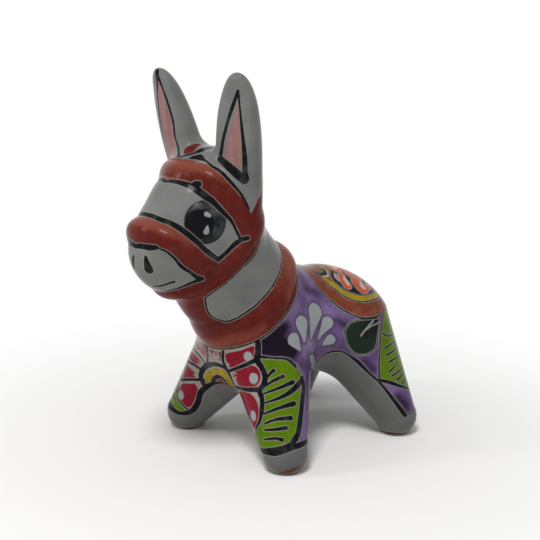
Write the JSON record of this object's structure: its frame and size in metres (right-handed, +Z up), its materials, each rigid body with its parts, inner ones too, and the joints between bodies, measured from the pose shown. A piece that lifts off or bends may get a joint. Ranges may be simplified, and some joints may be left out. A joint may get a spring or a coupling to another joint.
{
  "type": "donkey figurine",
  "caption": "Small hollow glazed earthenware donkey on four splayed legs, with upright ears and a raised clay halter.",
  "frame": {"origin": "on the ground under the middle of the bounding box", "axes": "+Z up, -Y the way the donkey looks, +X its left side"},
  "size_m": [0.0852, 0.1266, 0.1603],
  "materials": {
    "grey_glaze": "glossy hand-brushed grey glaze",
    "painted_glaze": "glossy purple, green, red and yellow brushwork with black outlines",
    "halter_glaze": "glossy translucent brick red glaze",
    "eye_glaze": "glossy black with grey rim and white lights"
  },
  "bodies": {
    "root": {"torso": "painted_glaze", "neck": "grey_glaze", "head": "grey_glaze", "front_left_leg": "painted_glaze", "front_right_leg": "painted_glaze", "rear_left_leg": "painted_glaze", "rear_right_leg": "painted_glaze", "left_ear": "grey_glaze", "right_ear": "grey_glaze", "left_eye": "eye_glaze", "right_eye": "eye_glaze", "noseband": "halter_glaze", "browband": "halter_glaze", "throatlatch": "halter_glaze", "collar": "halter_glaze", "tail": "grey_glaze"}
  },
  "joints": []
}
